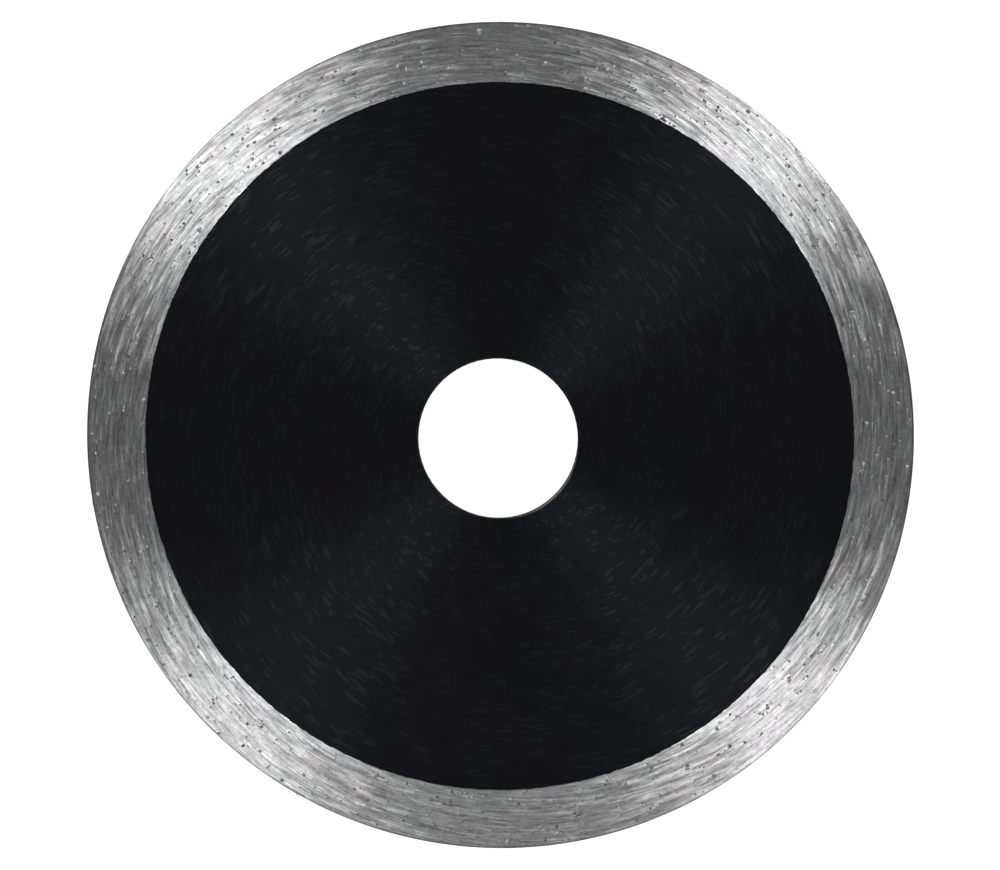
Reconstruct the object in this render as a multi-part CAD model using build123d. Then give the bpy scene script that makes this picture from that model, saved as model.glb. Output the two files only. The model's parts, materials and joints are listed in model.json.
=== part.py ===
from build123d import *
import math
import os

# A continuous-rim diamond blade, lying flat: the bore's axis is +Z, and the origin is at the bore's
# centre, halfway through the blade. All sizes are in millimetres.

# Driving dimensions
OUTER_DIAMETER = 115.0
BORE_DIAMETER = 22.23
RIM_HEIGHT = 8.3
RIM_THICKNESS = 2.0
CORE_THICKNESS = 1.4

# The core's edge, hidden in the rim: ground a little thinner, and punched into dovetail teeth
KEY_THICKNESS = 1.3
KEY_OVERLAP = 2.5
NOTCH_COUNT = 36
NOTCH_DEPTH = 1.6
NOTCH_MOUTH = 3.4
NOTCH_ROOT = 4.4
NOTCH_CORNER = 0.3

# Broken edges
BORE_CHAMFER = 0.2
RIM_CHAMFER = 0.15

# Diamond grits that lie open in the rim's surface
GRIT_SIZE = 0.46
GRIT_SIZE_SPREAD = 0.1
GRITS_PER_FACE = 48
GRITS_ON_EDGE = 24
GRIT_SPACING = 3.0
GRIT_MARGIN = 0.5

OUTER_RADIUS = OUTER_DIAMETER / 2
BORE_RADIUS = BORE_DIAMETER / 2
RIM_INNER_RADIUS = OUTER_RADIUS - RIM_HEIGHT
KEY_RADIUS = RIM_INNER_RADIUS + KEY_OVERLAP
FACE_Z = RIM_THICKNESS / 2

# Steps that never repeat, so that turns and shares of them spread evenly
GOLDEN_TURN = 180 * (3 - math.sqrt(5))
GOLDEN_SHARE = (math.sqrt(5) - 1) / 2
SILVER_SHARE = math.sqrt(2) - 1


def notch_profile():
    """One dovetail notch on the +X side, narrower at its mouth than at its root."""
    root_x = KEY_RADIUS - NOTCH_DEPTH
    mouth_x = KEY_RADIUS + NOTCH_CORNER
    outline = Polyline(
        (mouth_x, -NOTCH_MOUTH / 2),
        (root_x, -NOTCH_ROOT / 2),
        (root_x, NOTCH_ROOT / 2),
        (mouth_x, NOTCH_MOUTH / 2),
        close=True,
    )
    notch = make_face(outline)
    root_corners = notch.vertices().sort_by(Axis.X)[:2]
    return fillet(root_corners, NOTCH_CORNER)


def toothed_edge():
    """The thinner outer edge of the core, with its ring of dovetail teeth."""
    outline = Circle(KEY_RADIUS)
    notch = notch_profile()
    for index in range(NOTCH_COUNT):
        turn = (index + 0.5) * 360 / NOTCH_COUNT
        outline -= Rot(0, 0, turn) * notch
    return Pos(0, 0, -KEY_THICKNESS / 2) * extrude(outline, KEY_THICKNESS)


def steel_core():
    """The steel disc, with its bore and its toothed edge."""
    disc = Cylinder(RIM_INNER_RADIUS, CORE_THICKNESS)
    core = disc + toothed_edge() - Cylinder(BORE_RADIUS, 2 * CORE_THICKNESS)
    bore_edges = core.edges().filter_by(GeomType.CIRCLE).filter_by(
        lambda edge: abs(edge.radius - BORE_RADIUS) < 0.01
    )
    return chamfer(bore_edges, BORE_CHAMFER)


def rim_blank():
    """The plain sintered ring, before the core's edge and the grits take their room in it."""
    ring = Cylinder(OUTER_RADIUS, RIM_THICKNESS) - Cylinder(RIM_INNER_RADIUS, 2 * RIM_THICKNESS)
    rim_edges = ring.edges().filter_by(GeomType.CIRCLE)
    return chamfer(rim_edges, RIM_CHAMFER)


def crystal(width):
    """A cuboctahedron of that width across its square faces, the usual shape of a synthetic diamond."""
    half = width / 2
    corners = []
    for first in (-half, half):
        for second in (-half, half):
            corners.append(Vector(first, second, 0))
            corners.append(Vector(first, 0, second))
            corners.append(Vector(0, first, second))
    square_normals = [Vector(*axis) for axis in ((1, 0, 0), (0, 1, 0), (0, 0, 1))]
    square_normals += [-normal for normal in square_normals]
    triangle_normals = [
        Vector(x, y, z) for x in (-1, 1) for y in (-1, 1) for z in (-1, 1)
    ]
    faces = []
    for normal in square_normals + triangle_normals:
        reach = max(corner.dot(normal) for corner in corners)
        ring = [corner for corner in corners if reach - corner.dot(normal) < half / 100]
        middle = sum(ring, Vector(0, 0, 0)) / len(ring)
        start = ring[0] - middle
        ring.sort(key=lambda corner: start.get_signed_angle(corner - middle, normal))
        faces.append(Face(Wire.make_polygon(ring, close=True)))
    return Solid(Shell(faces))


def share(index, step):
    """The index-th share, from 0 to 1, of a sequence that spreads evenly."""
    return (index * step) % 1


def spread_places(count, place):
    """The first count places, in the order that place(index) gives them, that keep their distance."""
    kept = []
    index = 0
    while len(kept) < count:
        index += 1
        spot = place(index)
        if all((spot - other).length > GRIT_SPACING for other in kept):
            kept.append(spot)
    return kept


def face_place(index, side):
    """A place on the rim's front (side 1) or back (side -1) face."""
    band = RIM_HEIGHT - 2 * GRIT_MARGIN
    radius = RIM_INNER_RADIUS + GRIT_MARGIN + band * share(index, SILVER_SHARE)
    angle = math.radians(index * GOLDEN_TURN * side)
    return Vector(radius * math.cos(angle), radius * math.sin(angle), side * FACE_Z)


def edge_place(index):
    """A place on the rim's cutting edge."""
    reach = FACE_Z - GRIT_MARGIN
    angle = math.radians(index * GOLDEN_TURN)
    height = reach * (2 * share(index, SILVER_SHARE) - 1)
    return Vector(OUTER_RADIUS * math.cos(angle), OUTER_RADIUS * math.sin(angle), height)


def diamond_grits(blank):
    """The crystals at the surface, each one ground flush with it."""
    places = spread_places(GRITS_PER_FACE, lambda index: face_place(index, 1))
    places += spread_places(GRITS_PER_FACE, lambda index: face_place(index, -1))
    places += spread_places(GRITS_ON_EDGE, edge_place)
    grits = []
    for index, place in enumerate(places):
        width = GRIT_SIZE + GRIT_SIZE_SPREAD * (share(index, GOLDEN_SHARE) - 0.5)
        turn = Rot(index * GOLDEN_TURN, 360 * share(index, SILVER_SHARE), 360 * share(index, GOLDEN_SHARE))
        whole = Location(place) * turn * crystal(width)
        grits.append((blank & whole).solid())
    return grits


def main():
    os.makedirs("parts", exist_ok=True)
    core = steel_core()
    blank = rim_blank()
    grits = diamond_grits(blank)
    rim = blank - core
    rim = rim.cut(*grits)
    export_step(core, "parts/steel_core.step")
    export_step(rim, "parts/bond_rim.step")
    export_step(Compound(children=grits), "parts/diamond_grits.step")


main()
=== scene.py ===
import json
import math
import random

import bpy
from mathutils import Matrix, Vector


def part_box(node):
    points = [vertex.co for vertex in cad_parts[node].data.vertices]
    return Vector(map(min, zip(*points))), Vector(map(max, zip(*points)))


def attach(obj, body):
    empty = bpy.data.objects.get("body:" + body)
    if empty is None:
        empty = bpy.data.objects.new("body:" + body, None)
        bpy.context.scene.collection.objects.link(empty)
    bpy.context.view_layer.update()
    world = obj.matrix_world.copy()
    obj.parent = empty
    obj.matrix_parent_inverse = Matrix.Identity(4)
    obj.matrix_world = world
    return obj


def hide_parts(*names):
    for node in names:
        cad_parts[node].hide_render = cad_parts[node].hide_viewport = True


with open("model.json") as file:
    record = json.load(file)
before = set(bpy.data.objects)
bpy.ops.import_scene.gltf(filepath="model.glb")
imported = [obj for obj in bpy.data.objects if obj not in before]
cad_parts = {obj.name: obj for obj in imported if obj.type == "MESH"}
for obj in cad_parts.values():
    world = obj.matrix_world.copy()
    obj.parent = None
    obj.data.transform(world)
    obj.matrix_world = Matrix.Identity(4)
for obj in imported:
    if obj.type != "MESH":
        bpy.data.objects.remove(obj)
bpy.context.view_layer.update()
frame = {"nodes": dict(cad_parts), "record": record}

# A diamond blade with a continuous rim, lying flat with the bore's axis along +Z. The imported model's
# core and ground-flush grits stay. The rim is rebuilt here with streaks of wear, and finer grits with
# their tails are set in it.

# ---------------------------------------------------------------- sizes, in metres

MM = 0.001

rim_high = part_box("bond_rim")[1]
OUTER_RADIUS = rim_high.x
RIM_FACE = rim_high.z
RIM_HEIGHT = 8.3 * MM
INNER_RADIUS = OUTER_RADIUS - RIM_HEIGHT
MEAN_RADIUS = (OUTER_RADIUS + INNER_RADIUS) / 2
BORE_RADIUS = frame["record"]["mounts"][0]["dims"]["r_mm"] * MM
EDGE_BREAK = 0.15 * MM

# how far the brush marks close in for each metre that they run round, clockwise from the front
SLANT = 0.06

# the worn rim's mesh: rows across each face and the edge, and steps round the ring
FACE_ROWS = 50
EDGE_ROWS = 10
RING_STEPS = 780
WEAR_DEPTH = 0.01 * MM
SHADE_ANGLE = 40
TOUCHING = 1e-6
LEVEL = 1e-7

# open grits, the tails of bond that stay in their lee, and ridges whose grit has gone
GRITS_PER_FACE = 760
TAILS_PER_FACE = 1900
GRITS_ON_EDGE = 90
TAILS_ON_EDGE = 260
FACE_MARGIN = 0.35 * MM
EDGE_SHARE = 0.75
GRIT_SINK = 0.36
TAIL_SINK = 0.008 * MM
FACE_TAIL_STRAY = 0.05
EDGE_TAIL_STRAY = 0.06

# the share of grits in clusters, and the reach of each from the grit before it, in millimetres
GRITS_IN_CLUSTERS = 0.25
CLUSTER_ACROSS = 0.6
CLUSTER_ALONG = 1.1

# smallest and largest sizes, in millimetres
FACE_GRIT_SIZES = (0.22, 0.43)
EDGE_GRIT_SIZES = (0.2, 0.44)
TAIL_WIDTHS = (0.12, 0.2)
TAIL_LENGTHS = (1.0, 3.2)
TAIL_HEIGHTS = (0.03, 0.06)

# how far a grit is drawn out in length, and how uneven its three sides are, least and most
GRIT_LENGTHS = (1.0, 1.7)
GRIT_SIDES = ((0.65, 1.25), (0.65, 1.25), (0.8, 1.1))
GRIT_CORNER_CUT = 0.42


# ---------------------------------------------------------------- node helpers

def grey(level):
    """The colour with that level in all three channels."""
    return (level, level, level)


def put(tree, kind, **settings):
    """A new node of that kind, with its settings."""
    made = tree.nodes.new(kind)
    for name, value in settings.items():
        setattr(made, name, value)
    return made


def feed(tree, socket, value):
    """Links value to socket if it is a socket, or else sets it there."""
    if isinstance(value, bpy.types.NodeSocket):
        tree.links.new(value, socket)
    else:
        socket.default_value = value


def compute(tree, operation, first, second=0.0, third=0.0):
    """One Math node's result."""
    made = put(tree, "ShaderNodeMath", operation=operation)
    for socket, value in zip(made.inputs, (first, second, third)):
        feed(tree, socket, value)
    return made.outputs[0]


def vector_of(tree, operation, first, second=(0, 0, 0), scale=1.0):
    """One Vector Math node's vector, or its value for a length or a dot product."""
    made = put(tree, "ShaderNodeVectorMath", operation=operation)
    feed(tree, made.inputs[0], first)
    if operation == "SCALE":
        feed(tree, made.inputs["Scale"], scale)
    elif operation not in ("LENGTH", "NORMALIZE"):
        feed(tree, made.inputs[1], second)
    return made.outputs["Value" if operation in ("LENGTH", "DOT_PRODUCT") else "Vector"]


def noise(tree, coordinates, detail=2.0, roughness=0.5):
    """A noise of scale 1 in the given coordinates, about 0.5 on average.

    The coordinates are a vector, or a vector and a fourth number.
    """
    made = put(tree, "ShaderNodeTexNoise")
    if isinstance(coordinates, tuple):
        made.noise_dimensions = "4D"
        feed(tree, made.inputs["W"], coordinates[1])
        coordinates = coordinates[0]
    feed(tree, made.inputs["Vector"], coordinates)
    made.inputs["Scale"].default_value = 1.0
    made.inputs["Detail"].default_value = detail
    made.inputs["Roughness"].default_value = roughness
    return made.outputs[0]


def mottle(tree, place, size, detail=2.0):
    """A noise with patches about size metres across, alike in every direction."""
    return noise(tree, vector_of(tree, "SCALE", place, scale=1 / size), detail)


def specks(tree, place, spacing):
    """(distance from the nearest speck's middle, in spacings; that speck's own share from 0 to 1)."""
    made = put(tree, "ShaderNodeTexVoronoi")
    feed(tree, made.inputs["Vector"], vector_of(tree, "SCALE", place, scale=1 / spacing))
    made.inputs["Scale"].default_value = 1.0
    own = put(tree, "ShaderNodeSeparateColor")
    feed(tree, own.inputs[0], made.outputs["Color"])
    return made.outputs["Distance"], own.outputs[0]


def spread(tree, value, low, high, new_low=0.0, new_high=1.0, smooth=False):
    """value from low to high becomes new_low to new_high, held at both ends."""
    made = put(tree, "ShaderNodeMapRange", interpolation_type="SMOOTHSTEP" if smooth else "LINEAR")
    for socket, number in zip(made.inputs, (value, low, high, new_low, new_high)):
        feed(tree, socket, number)
    return made.outputs[0]


def blend_colours(tree, share, first, second, kind="MIX"):
    """The colour that is first at share 0 and, at share 1, second (or first times second)."""
    made = put(tree, "ShaderNodeMix", data_type="RGBA", blend_type=kind)
    feed(tree, made.inputs[0], share)
    feed(tree, made.inputs[6], (*first, 1.0) if isinstance(first, tuple) else first)
    feed(tree, made.inputs[7], (*second, 1.0) if isinstance(second, tuple) else second)
    return made.outputs[2]


def flat_radius(tree, place):
    """The distance from the blade's axis."""
    return vector_of(tree, "LENGTH", vector_of(tree, "MULTIPLY", place, (1, 1, 0)))


def brushed(tree, place, along, across, seed=0.0, sway=0.0, sway_length=4 * MM):
    """Coordinates for streaks that run round the blade: about along metres long and across metres wide.

    The streaks are arcs of a spiral that closes in clockwise by SLANT. Its turns lie on a circle in
    the last two of the four coordinates, so that the pattern has no seam. The streaks stray by up to
    about sway metres in every sway_length.
    """
    flat = vector_of(tree, "MULTIPLY", place, (1, 1, 0))
    around = vector_of(tree, "NORMALIZE", flat)
    parts = put(tree, "ShaderNodeSeparateXYZ")
    feed(tree, parts.inputs[0], place)
    over = compute(tree, "SUBTRACT", vector_of(tree, "LENGTH", flat), parts.outputs[2])
    if sway:
        wander = mottle(tree, place, sway_length, detail=1.0)
        over = compute(tree, "ADD", over, compute(tree, "MULTIPLY", wander, sway))
    pitch = SLANT * MEAN_RADIUS
    angle = compute(tree, "ARCTAN2", parts.outputs[1], parts.outputs[0])
    phase = compute(tree, "SUBTRACT", compute(tree, "MULTIPLY_ADD", over, 1 / pitch, seed), angle)
    third = compute(tree, "MULTIPLY", compute(tree, "COSINE", phase), pitch / across)
    fourth = compute(tree, "MULTIPLY", compute(tree, "SINE", phase), pitch / across)
    stack = put(tree, "ShaderNodeCombineXYZ")
    feed(tree, stack.inputs[2], third)
    ring = vector_of(tree, "SCALE", around, scale=MEAN_RADIUS / along)
    return vector_of(tree, "ADD", ring, stack.outputs[0]), fourth


def new_material(name, **constants):
    """A material with one Principled shader, its constant sockets set, and the place on the piece."""
    material = bpy.data.materials.new(name)
    material.use_nodes = True
    tree = material.node_tree
    shader = next(n for n in tree.nodes if n.type == "BSDF_PRINCIPLED")
    for socket, value in constants.items():
        shader.inputs[socket.replace("_", " ")].default_value = value
    place = put(tree, "ShaderNodeTexCoord").outputs["Object"]
    return material, tree, shader, place


def brush_tangent(tree, place, stray):
    """The direction across the brush marks, in the surface: gloss is drawn out along it.

    It strays by up to stray radians, in streaks.
    """
    around = vector_of(tree, "NORMALIZE", vector_of(tree, "CROSS_PRODUCT", (0, 0, 1), place))
    normal = put(tree, "ShaderNodeNewGeometry").outputs["Normal"]
    across = vector_of(tree, "CROSS_PRODUCT", around, normal)
    turn = noise(tree, brushed(tree, place, 4.5 * MM, 0.5 * MM, seed=7.0))
    turn = spread(tree, turn, 0.3, 0.7, -stray, stray)
    across = vector_of(tree, "ADD", across, vector_of(tree, "SCALE", around, scale=turn))
    return vector_of(tree, "NORMALIZE", across)


def bump(tree, height, distance):
    """The normal of a surface raised by height times distance."""
    made = put(tree, "ShaderNodeBump")
    made.inputs["Strength"].default_value = 1.0
    made.inputs["Distance"].default_value = distance
    feed(tree, made.inputs["Height"], height)
    return made.outputs[0]


# ---------------------------------------------------------------- materials

LACQUER_TONES = ((0.0082, 0.0064, 0.0092), (0.0064, 0.0064, 0.0082))
LACQUER_SHEEN = (0.64, 0.99, 1.0, 1.0)
LACQUER_RELIEF = 0.0045 * MM
LACQUER_STRAY = 0.12
THIN_SPOT = (0.0165, 0.0195, 0.0205)
THIN_SPOT_METAL = 0.6

# a painted highlight of bare-looking steel on the bore's edge, on the side where light catches it:
# towards this side, and this wide
HIGHLIT_SIDE = (0.72, -0.69, 0.0)
HIGHLIGHT_WIDTH = 0.3 * MM
HIGHLIGHT_STEEL = (0.15, 0.15, 0.153)

BOND_TONES = ((0.41, 0.411, 0.414), (0.57, 0.571, 0.575))
BOND_TINTS = ((0.97, 0.99, 0.985), (0.99, 0.965, 0.98))
BOND_RELIEF = 0.0055 * MM
BOND_STRAY = 0.24
DARK_HAIR = (0.16, 0.16, 0.162)
PRESSED_CHIP = (0.85, 0.87, 0.9)
PRESSED_BOND = (0.5, 0.56, 0.6)
PIT_SPACING = 1.0 * MM
FILM = (0.004, 0.005, 0.0065)
BURNISH = 0.55

GRIT_TONES = ((0.03, 0.03, 0.03), (0.15, 0.15, 0.14))
PALE_GRIT = (0.5, 0.5, 0.475)

FLOOR_TONES = (grey(0.44), grey(0.46))
FLOOR_GLOW = 0.9


def black_lacquer():
    """Thin satin black over turned steel, with short turning marks, and a painted highlight of bare steel
    on one side of the bore's edge.
    """
    material, tree, shader, place = new_material(
        "black_lacquer", Anisotropic=0.78, Specular_IOR_Level=0.075, Specular_Tint=LACQUER_SHEEN
    )
    marks = noise(tree, brushed(tree, place, 3.4 * MM, 0.45 * MM, sway=0.3 * MM), detail=1.0)
    groups = noise(tree, brushed(tree, place, 7 * MM, 3.5 * MM, seed=5.0))
    broad = mottle(tree, place, 16 * MM)

    # the lacquer is thin on the raised marks, where the steel gives them gloss, and the sunk are duller
    grouped = spread(tree, groups, 0.38, 0.5)
    raised = compute(tree, "MULTIPLY", spread(tree, marks, 0.51, 0.62), grouped)
    sunk = compute(tree, "MULTIPLY", spread(tree, marks, 0.48, 0.4), grouped)
    colour = blend_colours(tree, spread(tree, broad, 0.3, 0.7), *LACQUER_TONES)
    colour = blend_colours(tree, compute(tree, "MULTIPLY", raised, raised), colour, THIN_SPOT)

    # the painted highlight, a crescent of bare steel on the lit side, starts raggedly at the bore's edge
    # and narrows towards both its ends
    around = vector_of(tree, "NORMALIZE", vector_of(tree, "MULTIPLY", place, (1, 1, 0)))
    highlit_side = spread(tree, vector_of(tree, "DOT_PRODUCT", around, HIGHLIT_SIDE), 0.72, 0.97)
    ragged = noise(tree, brushed(tree, place, 1.2 * MM, 0.3 * MM, seed=9.0))
    highlight_width = compute(tree, "MULTIPLY", highlit_side, HIGHLIGHT_WIDTH)
    inner_end = compute(tree, "MULTIPLY_ADD", ragged, 0.08 * MM, BORE_RADIUS + 0.02 * MM)
    past = compute(tree, "SUBTRACT", flat_radius(tree, place), inner_end)
    left = compute(tree, "SUBTRACT", highlight_width, past)
    painted_highlight = compute(tree, "MINIMUM", spread(tree, past, 0.0, 0.08 * MM), highlit_side)
    painted_highlight = compute(tree, "MINIMUM", painted_highlight, spread(tree, left, 0.0, 0.1 * MM))
    colour = blend_colours(tree, painted_highlight, colour, HIGHLIGHT_STEEL)

    metal = compute(tree, "MAXIMUM", compute(tree, "MULTIPLY", raised, THIN_SPOT_METAL), painted_highlight)
    feed(tree, shader.inputs["Base Color"], colour)
    feed(tree, shader.inputs["Metallic"], metal)
    feed(tree, shader.inputs["Roughness"], spread(tree, sunk, 0.0, 1.0, 0.315, 0.4))
    feed(tree, shader.inputs["Tangent"], brush_tangent(tree, place, LACQUER_STRAY))
    feed(tree, shader.inputs["Normal"], bump(tree, marks, LACQUER_RELIEF))
    return material


def sintered_bond(name, light):
    """Ground metal bond: grey, drawn into lines by the work, with the lacquer's ragged edge on its step.

    light is how far rubbing has brightened it, from 0 to 1.
    """
    material, tree, shader, place = new_material(name, Anisotropic=0.82, Specular_IOR_Level=0.5)
    streaks = noise(tree, brushed(tree, place, 3.8 * MM, 0.28 * MM, sway=0.08 * MM), detail=1.0)
    hairs = noise(tree, brushed(tree, place, 5 * MM, 0.18 * MM, seed=2.0, sway=0.08 * MM), detail=0.0)
    breaks = noise(tree, brushed(tree, place, 2.2 * MM, 0.4 * MM, seed=4.0), detail=1.0)
    broad = noise(tree, brushed(tree, place, 9 * MM, 2.2 * MM, seed=77.0))
    tint = mottle(tree, place, 4 * MM, detail=1.0)
    grain = mottle(tree, place, 0.2 * MM)
    blotches = mottle(tree, place, 0.6 * MM)
    dark_hairs = spread(tree, hairs, 0.47, 0.33)
    dark_hairs = compute(tree, "MULTIPLY", dark_hairs, spread(tree, breaks, 0.44, 0.52))
    pale_hairs = spread(tree, hairs, 0.55, 0.69)
    pale_hairs = compute(tree, "MULTIPLY", pale_hairs, spread(tree, breaks, 0.54, 0.46))
    # pull-outs where grits have gone, shown only as painted shade: dark spots, mostly not metal, with no
    # hollow in the relief
    far, own = specks(tree, place, PIT_SPACING)
    pit_shade = compute(tree, "MULTIPLY", spread(tree, far, 0.1, 0.17, 1.0, 0.0), spread(tree, own, 0.5, 0.6))

    # each layer covers the ones before it by its share
    layers = (
        (compute(tree, "MULTIPLY", dark_hairs, 0.74), DARK_HAIR),
        (compute(tree, "MULTIPLY", pale_hairs, 0.7), grey(0.97)),
        (pit_shade, grey(0.08)),
        (spread(tree, grain, 0.5, 0.7, 0.0, 0.25), grey(0.2)),
        (spread(tree, grain, 0.5, 0.3, 0.0, 0.25), grey(0.95)),
        (spread(tree, blotches, 0.5, 0.65, 0.0, 0.2), grey(0.3)),
        (spread(tree, blotches, 0.5, 0.35, 0.0, 0.2), grey(0.9)),
        (spread(tree, broad, 0.42, 0.7, 0.0, 0.2), grey(0.42)),
    )
    colour = blend_colours(tree, spread(tree, streaks, 0.4, 0.6), *BOND_TONES)
    for share, shade in layers:
        colour = blend_colours(tree, share, colour, shade)
    warm_cool = blend_colours(tree, spread(tree, tint, 0.4, 0.6), *BOND_TINTS)
    colour = blend_colours(tree, 1.0, colour, warm_cool, kind="MULTIPLY")
    colour = blend_colours(tree, light, colour, grey(0.96))

    # the strip next to the core keeps the mould's cooler skin, and a band of painted shade darkens the
    # outer corner all round
    radius = flat_radius(tree, place)
    pressed = spread(tree, radius, INNER_RADIUS + 0.3 * MM, INNER_RADIUS + 1.1 * MM, 1.0, 0.0)
    chips = compute(tree, "MULTIPLY", pressed, spread(tree, grain, 0.55, 0.65, 0.0, 0.5))
    colour = blend_colours(tree, chips, colour, PRESSED_CHIP)
    colour = blend_colours(tree, compute(tree, "MULTIPLY", pressed, 0.2), colour, PRESSED_BOND)
    shaded_outer_edge = spread(tree, radius, OUTER_RADIUS - 0.36 * MM, OUTER_RADIUS - 0.12 * MM, 0.0, 0.62)
    colour = blend_colours(tree, shaded_outer_edge, colour, grey(0.06))

    # the film of lacquer, which ends raggedly at the foot of the rim's face
    ragged = brushed(tree, place, 1.2 * MM, 0.5 * MM, seed=12.0)
    ragged = noise(tree, ragged, detail=3.0, roughness=0.65)
    film_edge = compute(tree, "MULTIPLY_ADD", ragged, 0.5 * MM, INNER_RADIUS - 0.2 * MM)
    film = spread(tree, compute(tree, "SUBTRACT", radius, film_edge), 0.0, 0.05 * MM, 1.0, 0.0)
    colour = blend_colours(tree, film, colour, FILM)

    not_metal = compute(tree, "MAXIMUM", film, compute(tree, "MULTIPLY", pit_shade, 0.8))
    height = compute(tree, "MULTIPLY_ADD", grain, 0.2, compute(tree, "SUBTRACT", streaks, dark_hairs))
    feed(tree, shader.inputs["Base Color"], colour)
    feed(tree, shader.inputs["Metallic"], spread(tree, not_metal, 0.0, 1.0, 1.0, 0.0))
    feed(tree, shader.inputs["Roughness"], spread(tree, streaks, 0.4, 0.6, 0.393, 0.335))
    feed(tree, shader.inputs["Tangent"], brush_tangent(tree, place, BOND_STRAY))
    feed(tree, shader.inputs["Normal"], bump(tree, height, BOND_RELIEF))
    return material


def diamond():
    """Synthetic diamond: dark yellow-grey in patches about a grit or two across, and pale in some."""
    material, tree, shader, place = new_material("diamond", IOR=2.4, Specular_IOR_Level=0.35)
    shade = mottle(tree, place, 0.7 * MM, detail=1.0)
    colour = blend_colours(tree, spread(tree, shade, 0.3, 0.7), *GRIT_TONES)
    colour = blend_colours(tree, spread(tree, shade, 0.54, 0.6), colour, PALE_GRIT)
    feed(tree, shader.inputs["Base Color"], colour)
    feed(tree, shader.inputs["Roughness"], spread(tree, shade, 0.3, 0.7, 0.32, 0.6))
    return material


def pale_floor():
    """A plain matt sheet, which glows so that it stays white."""
    material, tree, shader, place = new_material("pale_floor", Roughness=0.9, Specular_IOR_Level=0.1)
    shade = mottle(tree, place, 40 * MM, detail=1.0)
    feed(tree, shader.inputs["Base Color"], blend_colours(tree, shade, *FLOOR_TONES))
    shader.inputs["Emission Color"].default_value = (1, 1, 1, 1)
    shader.inputs["Emission Strength"].default_value = FLOOR_GLOW
    return material


# ---------------------------------------------------------------- modelling helpers

def deselect_all():
    """Leaves edit mode and selects nothing."""
    if bpy.context.object and bpy.context.object.mode != "OBJECT":
        bpy.ops.object.mode_set(mode="OBJECT")
    bpy.ops.object.select_all(action="DESELECT")


def only(piece):
    """Makes piece the one selected object."""
    deselect_all()
    piece.select_set(True)
    bpy.context.view_layer.objects.active = piece


def dress(piece, material):
    """Gives piece that one material."""
    piece.data.materials.clear()
    piece.data.materials.append(material)


def finish_piece(piece, name, material):
    """Names a piece, bakes its place into its mesh, and lets it ride on the blade."""
    only(piece)
    bpy.ops.object.transform_apply(location=True, rotation=True, scale=True)
    piece.name = name
    piece.data.name = name
    dress(piece, material)
    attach(piece, "root")


# ---------------------------------------------------------------- the worn rim

def rim_ring():
    """The rim's section with broken corners, cut into rows and spun round the axis."""
    deselect_all()
    bpy.ops.mesh.primitive_plane_add(
        size=1, location=(MEAN_RADIUS, 0, 0), rotation=(math.pi / 2, 0, 0)
    )
    ring = bpy.context.object
    ring.scale = (RIM_HEIGHT, 2 * RIM_FACE, 1)
    bpy.ops.object.transform_apply(location=True, rotation=True, scale=True)
    bpy.ops.object.mode_set(mode="EDIT")
    bpy.ops.mesh.select_all(action="SELECT")
    bpy.ops.mesh.bevel(offset=EDGE_BREAK, segments=2, affect="VERTICES", clamp_overlap=False)
    bpy.ops.mesh.select_all(action="SELECT")
    bpy.ops.mesh.delete(type="ONLY_FACE")
    cut_section_edges(ring, lambda a, b: abs(a.z - b.z) < LEVEL, FACE_ROWS - 1)
    cut_section_edges(ring, lambda a, b: min(a.x, b.x) > OUTER_RADIUS - TOUCHING, EDGE_ROWS - 1)
    bpy.ops.mesh.select_all(action="SELECT")
    bpy.ops.mesh.spin(steps=RING_STEPS, angle=2 * math.pi, center=(0, 0, 0), axis=(0, 0, 1))
    bpy.ops.mesh.select_all(action="SELECT")
    bpy.ops.mesh.remove_doubles(threshold=TOUCHING)
    bpy.ops.mesh.normals_make_consistent(inside=False)
    bpy.ops.object.mode_set(mode="OBJECT")
    return ring


def cut_section_edges(piece, wanted, cuts):
    """Subdivides the long section edges that wanted(first end, second end) picks out."""
    bpy.ops.mesh.select_all(action="DESELECT")
    bpy.ops.object.mode_set(mode="OBJECT")
    bpy.ops.object.mode_set(mode="EDIT")
    bpy.ops.mesh.select_mode(type="EDGE")
    bpy.ops.object.mode_set(mode="OBJECT")
    points = piece.data.vertices
    for edge in piece.data.edges:
        first, second = (points[i].co for i in edge.vertices)
        edge.select = (first - second).length > 4 * EDGE_BREAK and wanted(first, second)
    bpy.ops.object.mode_set(mode="EDIT")
    bpy.ops.mesh.subdivide(number_cuts=cuts)
    bpy.ops.mesh.select_mode(type="VERT")


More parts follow.
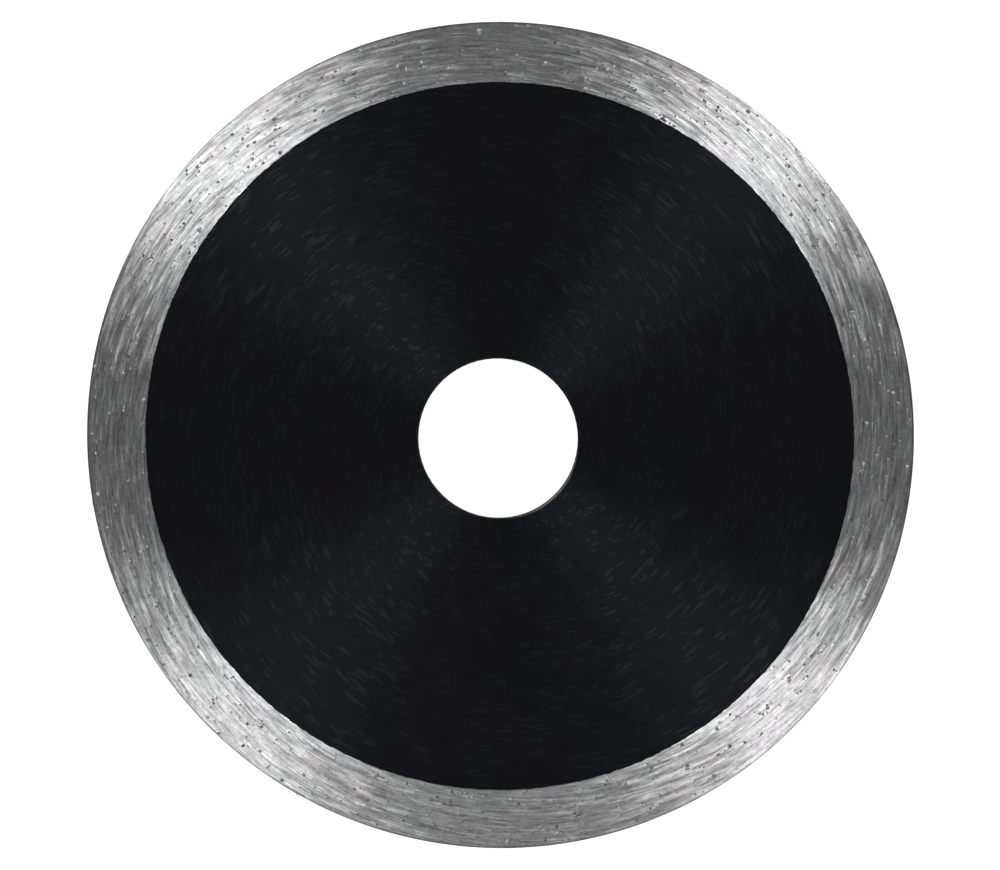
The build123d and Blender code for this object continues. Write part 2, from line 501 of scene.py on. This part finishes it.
def wear_in(ring):
    """Sinks the rim's open surfaces by up to WEAR_DEPTH, in streaks that run round the ring."""
    tree = bpy.data.node_groups.new("streaks_of_wear", "GeometryNodeTree")
    tree.interface.new_socket(name="Geometry", in_out="INPUT", socket_type="NodeSocketGeometry")
    tree.interface.new_socket(name="Geometry", in_out="OUTPUT", socket_type="NodeSocketGeometry")
    mesh_in = put(tree, "NodeGroupInput").outputs[0]
    mesh_out = put(tree, "NodeGroupOutput").inputs[0]
    place = put(tree, "GeometryNodeInputPosition").outputs[0]
    fine = brushed(tree, place, 2.4 * MM, 0.32 * MM, sway=0.4 * MM)
    fine = noise(tree, fine, detail=1.0)
    medium = brushed(tree, place, 4.5 * MM, 0.6 * MM, seed=31.0, sway=0.6 * MM)
    medium = noise(tree, medium, detail=1.0)
    depth = compute(tree, "ADD", spread(tree, fine, 0.3, 0.7), spread(tree, medium, 0.3, 0.7))
    open_side = spread(tree, flat_radius(tree, place), INNER_RADIUS, INNER_RADIUS + EDGE_BREAK)
    depth = compute(tree, "MULTIPLY", depth, open_side)
    depth = compute(tree, "MULTIPLY", depth, -WEAR_DEPTH / 2)
    outward = put(tree, "GeometryNodeInputNormal").outputs[0]
    settle = put(tree, "GeometryNodeSetPosition")
    feed(tree, settle.inputs["Geometry"], mesh_in)
    feed(tree, settle.inputs["Offset"], vector_of(tree, "SCALE", outward, scale=depth))
    tree.links.new(settle.outputs[0], mesh_out)
    only(ring)
    wear = ring.modifiers.new("wear", "NODES")
    wear.node_group = tree
    bpy.ops.object.modifier_apply(modifier=wear.name)
    bpy.ops.object.shade_smooth_by_angle(angle=math.radians(SHADE_ANGLE))


# ---------------------------------------------------------------- grits and their tails

def grit_shape():
    """One crystal, 1 across: a cube with its corners cut off almost to the middle of its edges."""
    deselect_all()
    bpy.ops.mesh.primitive_cube_add(size=1)
    shape = bpy.context.object
    bpy.ops.object.mode_set(mode="EDIT")
    bpy.ops.mesh.select_all(action="SELECT")
    bpy.ops.mesh.bevel(offset=GRIT_CORNER_CUT, segments=1, affect="VERTICES")
    bpy.ops.object.mode_set(mode="OBJECT")
    return shape


def tail_shape():
    """One tail, 1 wide, 1 high and 1 long, tapering from its head at the origin towards -Y."""
    deselect_all()
    bpy.ops.mesh.primitive_cone_add(
        vertices=8,
        radius1=0.5,
        radius2=0.06,
        depth=1,
        location=(0, -0.5, 0),
        rotation=(math.pi / 2, 0, 0),
    )
    shape = bpy.context.object
    bpy.ops.object.transform_apply(location=True, rotation=True, scale=True)
    return shape


def strew(shape, places, name, material):
    """Makes one piece of copies of shape, one for each matrix in places."""
    corners = [v.co.copy() for v in shape.data.vertices]
    faces = [tuple(p.vertices) for p in shape.data.polygons]
    all_corners, all_faces = [], []
    for place in places:
        start = len(all_corners)
        all_corners += [place @ corner for corner in corners]
        all_faces += [tuple(start + i for i in face) for face in faces]
    mesh = bpy.data.meshes.new(name)
    mesh.from_pydata(all_corners, [], all_faces)
    piece = bpy.data.objects.new(name, mesh)
    bpy.context.scene.collection.objects.link(piece)
    finish_piece(piece, name, material)


def on_face(side, radius, angle, lift, turn, sizes):
    """The matrix that lays a shape on the front (side 1) or back (side -1) face."""
    flip = Matrix.Rotation(0 if side > 0 else math.pi, 4, "Y")
    at = Matrix.Translation((radius, 0, side * (RIM_FACE + lift)))
    spin = Matrix.Rotation(angle, 4, "Z")
    return spin @ at @ Matrix.Rotation(turn, 4, "Z") @ flip @ Matrix.Diagonal((*sizes, 1))


def on_edge(height, angle, lift, turn, sizes):
    """The matrix that lays a shape on the cutting edge, with its top outwards."""
    stand = Matrix.Rotation(math.pi / 2, 4, "Y")
    at = Matrix.Translation((OUTER_RADIUS + lift, 0, height))
    spin = Matrix.Rotation(angle, 4, "Z")
    return spin @ at @ Matrix.Rotation(turn, 4, "X") @ stand @ Matrix.Diagonal((*sizes, 1))


def tumbled(draw):
    """A crystal's own turn, any way up, with its three sides a little uneven."""
    roll = Matrix.Rotation(draw.uniform(0, 2 * math.pi), 4, "X")
    turn = Matrix.Rotation(draw.uniform(0, 2 * math.pi), 4, "Z")
    sides = [draw.uniform(*limits) for limits in GRIT_SIDES]
    return roll @ turn @ Matrix.Diagonal((*sides, 1))


def tail_sizes(draw):
    """The width, length and height of one tail."""
    return [draw.uniform(*limits) * MM for limits in (TAIL_WIDTHS, TAIL_LENGTHS, TAIL_HEIGHTS)]


def face_scatter(side, seed):
    """Places for one face's grits, for the tails behind them, and for ridges with no grit left."""
    draw = random.Random(seed)
    grits, tails, ridges = [], [], []
    innermost, outermost = INNER_RADIUS + FACE_MARGIN, OUTER_RADIUS - FACE_MARGIN
    radius, angle = MEAN_RADIUS, 0.0
    for index in range(TAILS_PER_FACE):
        if index < GRITS_PER_FACE and draw.random() < GRITS_IN_CLUSTERS:
            radius += draw.uniform(-CLUSTER_ACROSS, CLUSTER_ACROSS) * MM
            angle += draw.uniform(-CLUSTER_ALONG, CLUSTER_ALONG) * MM / radius
        else:
            radius = draw.uniform(innermost, outermost)
            angle = draw.uniform(0, 2 * math.pi)
        radius = min(max(radius, innermost), outermost)
        turn = draw.gauss(-SLANT, FACE_TAIL_STRAY)
        tail = on_face(side, radius, angle, -TAIL_SINK, turn, tail_sizes(draw))
        if index >= GRITS_PER_FACE:
            ridges.append(tail)
            continue
        tails.append(tail)
        size = draw.uniform(*FACE_GRIT_SIZES) * MM
        sizes = (size, size * draw.uniform(*GRIT_LENGTHS), size)
        grits.append(on_face(side, radius, angle, -GRIT_SINK * size, 0, sizes) @ tumbled(draw))
    return grits, tails, ridges


def edge_scatter(seed):
    """Places for the cutting edge's grits, for the tails behind them, and for lone ridges."""
    draw = random.Random(seed)
    grits, tails, ridges = [], [], []
    for index in range(TAILS_ON_EDGE):
        height = draw.uniform(-EDGE_SHARE, EDGE_SHARE) * RIM_FACE
        angle = draw.uniform(0, 2 * math.pi)
        turn = draw.gauss(0, EDGE_TAIL_STRAY)
        tail = on_edge(height, angle, -TAIL_SINK, turn, tail_sizes(draw))
        if index >= GRITS_ON_EDGE:
            ridges.append(tail)
            continue
        tails.append(tail)
        size = draw.uniform(*EDGE_GRIT_SIZES) * MM
        sizes = (size, size, size)
        grits.append(on_edge(height, angle, -GRIT_SINK * size, 0, sizes) @ tumbled(draw))
    return grits, tails, ridges


# ---------------------------------------------------------------- stage

FLOOR_SIZE = 12
FLOOR_GAP = 0.2 * MM
LAMPS = (
    # turn round the blade and tilt from the axis in degrees, distance, size, power
    ("lamp_upper_right", 47, 30, 1.6, 0.3, 6.5),
    ("lamp_upper_left", 142.5, 30, 1.6, 0.3, 5.3),
    ("lamp_lower_left", 228, 30, 1.6, 0.33, 3.15),
    ("lamp_lower_right", 306.7, 30, 1.6, 0.3, 4.2),
    ("fill", 270, 34, 0.25, 0.1, 0.015),
)

# the camera leans towards +X and +Y by these degrees, and sees a strip FRAME_WIDTH wide
CAMERA_DISTANCE = 0.40
CAMERA_LEAN = (2.8, 3.6)
CAMERA_AIM = (0.29 * MM, 0.46 * MM)
CAMERA_RANGE = (0.01, 50)
SENSOR_WIDTH = 36.0
FRAME_WIDTH = 139.15 * MM

# the studio glows as at the horizon up to the first height, and as overhead from the second
GLOW_HEIGHTS = (0.12, 0.5)
HORIZON_GLOW = 1.27
ZENITH_GLOW = 0.025


def build_floor():
    """A white sheet just under the blade."""
    deselect_all()
    bpy.ops.mesh.primitive_plane_add(size=FLOOR_SIZE, location=(0, 0, -RIM_FACE - FLOOR_GAP))
    floor = bpy.context.object
    floor.name = "floor"
    dress(floor, pale_floor())


def build_lamps():
    """Four soft lamps near the diagonals, the lower pair weaker, and a faint fill close by at -Y."""
    for name, turn, tilt, distance, size, power in LAMPS:
        data = bpy.data.lights.new(name, "AREA")
        data.shape = "SQUARE"
        data.size = size
        data.energy = power
        lamp = bpy.data.objects.new(name, data)
        bpy.context.scene.collection.objects.link(lamp)
        tilt, turn = math.radians(tilt), math.radians(turn)
        direction = Vector(
            (math.sin(tilt) * math.cos(turn), math.sin(tilt) * math.sin(turn), math.cos(tilt))
        )
        lamp.location = direction * distance
        lamp.rotation_euler = direction.to_track_quat("Z", "Y").to_euler()


def build_world():
    """A studio that is pale all round and dim overhead."""
    world = bpy.data.worlds.new("studio")
    bpy.context.scene.world = world
    world.use_nodes = True
    tree = world.node_tree
    tree.nodes.clear()
    direction = put(tree, "ShaderNodeTexCoord").outputs["Generated"]
    split = put(tree, "ShaderNodeSeparateXYZ")
    feed(tree, split.inputs[0], direction)
    glow = spread(tree, split.outputs[2], *GLOW_HEIGHTS, HORIZON_GLOW, ZENITH_GLOW, smooth=True)
    background = put(tree, "ShaderNodeBackground")
    feed(tree, background.inputs["Strength"], glow)
    out = put(tree, "ShaderNodeOutputWorld")
    tree.links.new(background.outputs[0], out.inputs[0])


def build_camera():
    """Almost straight overhead, leaning a few degrees off the axis, with +Y up in the frame."""
    data = bpy.data.cameras.new("camera")
    data.sensor_width = SENSOR_WIDTH
    data.lens = SENSOR_WIDTH * CAMERA_DISTANCE / FRAME_WIDTH
    data.clip_start, data.clip_end = CAMERA_RANGE
    camera = bpy.data.objects.new("camera", data)
    bpy.context.scene.collection.objects.link(camera)
    lean_x, lean_y = (math.radians(a) for a in CAMERA_LEAN)
    camera.rotation_euler = (-lean_y, lean_x, 0)
    bpy.context.view_layer.update()
    back = camera.rotation_euler.to_matrix() @ Vector((0, 0, 1))
    aim = Vector((*CAMERA_AIM, 0.0))
    camera.location = aim + back * CAMERA_DISTANCE
    bpy.context.scene.camera = camera


# ---------------------------------------------------------------- the blade

bond = sintered_bond("sintered_bond", 0.0)
burnished_bond = sintered_bond("burnished_bond", BURNISH)
crystal = diamond()

dress(frame["nodes"]["steel_core"], black_lacquer())
dress(frame["nodes"]["diamond_grits"], crystal)

rim = rim_ring()
wear_in(rim)
finish_piece(rim, "worn_rim", bond)
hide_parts("bond_rim")

one_grit = grit_shape()
one_tail = tail_shape()
scatters = {
    "front": face_scatter(1, seed=12),
    "back": face_scatter(-1, seed=10),
    "edge": edge_scatter(seed=40),
}
for name, (grits, tails, ridges) in scatters.items():
    strew(one_grit, grits, f"open_grits_{name}", crystal)
    strew(one_tail, tails, f"grit_tails_{name}", burnished_bond)
    strew(one_tail, ridges, f"worn_ridges_{name}", bond)
for shape in (one_grit, one_tail):
    bpy.data.objects.remove(shape)

build_floor()
build_lamps()
build_world()
build_camera()
bpy.context.scene.view_settings.view_transform = "Standard"
